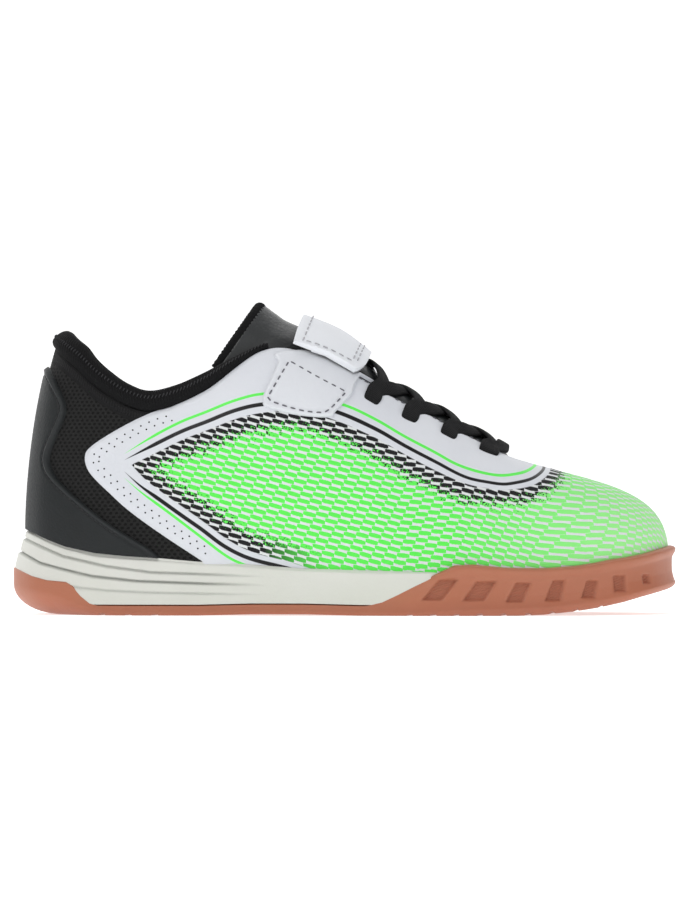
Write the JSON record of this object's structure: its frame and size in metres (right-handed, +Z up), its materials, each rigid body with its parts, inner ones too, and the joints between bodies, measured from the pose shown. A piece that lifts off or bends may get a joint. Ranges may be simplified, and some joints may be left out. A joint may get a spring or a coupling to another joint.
{
  "type": "indoor soccer shoe",
  "caption": "Child's indoor soccer shoe for the right foot, with a gum rubber sole, a printed mesh upper, elastic laces and a strap over the instep.",
  "frame": {"origin": "on the floor, under the middle of the shoe's bounding box", "axes": "+X towards the toe, +Y towards the medial side, +Z up"},
  "size_m": [0.2069, 0.0778, 0.0966],
  "materials": {
    "gum_rubber": "satin",
    "pale_foam": "matte",
    "printed_mesh": "printed",
    "black_synthetic": "satin",
    "black_knit": "matte",
    "white_synthetic": "satin",
    "sock_lining": "matte"
  },
  "bodies": {
    "root": {"outsole": "gum_rubber", "midsole": "pale_foam", "upper": "printed_mesh", "insole": "sock_lining", "tongue": "black_synthetic", "heel_counter": "black_synthetic", "collar": "black_knit", "strap_base": "white_synthetic", "strap": "white_synthetic", "lace_crossing_1": "black_knit", "lace_crossing_2": "black_knit", "lace_crossing_3": "black_knit", "lace_crossing_4": "black_knit", "lace_bar": "black_knit"}
  },
  "joints": []
}
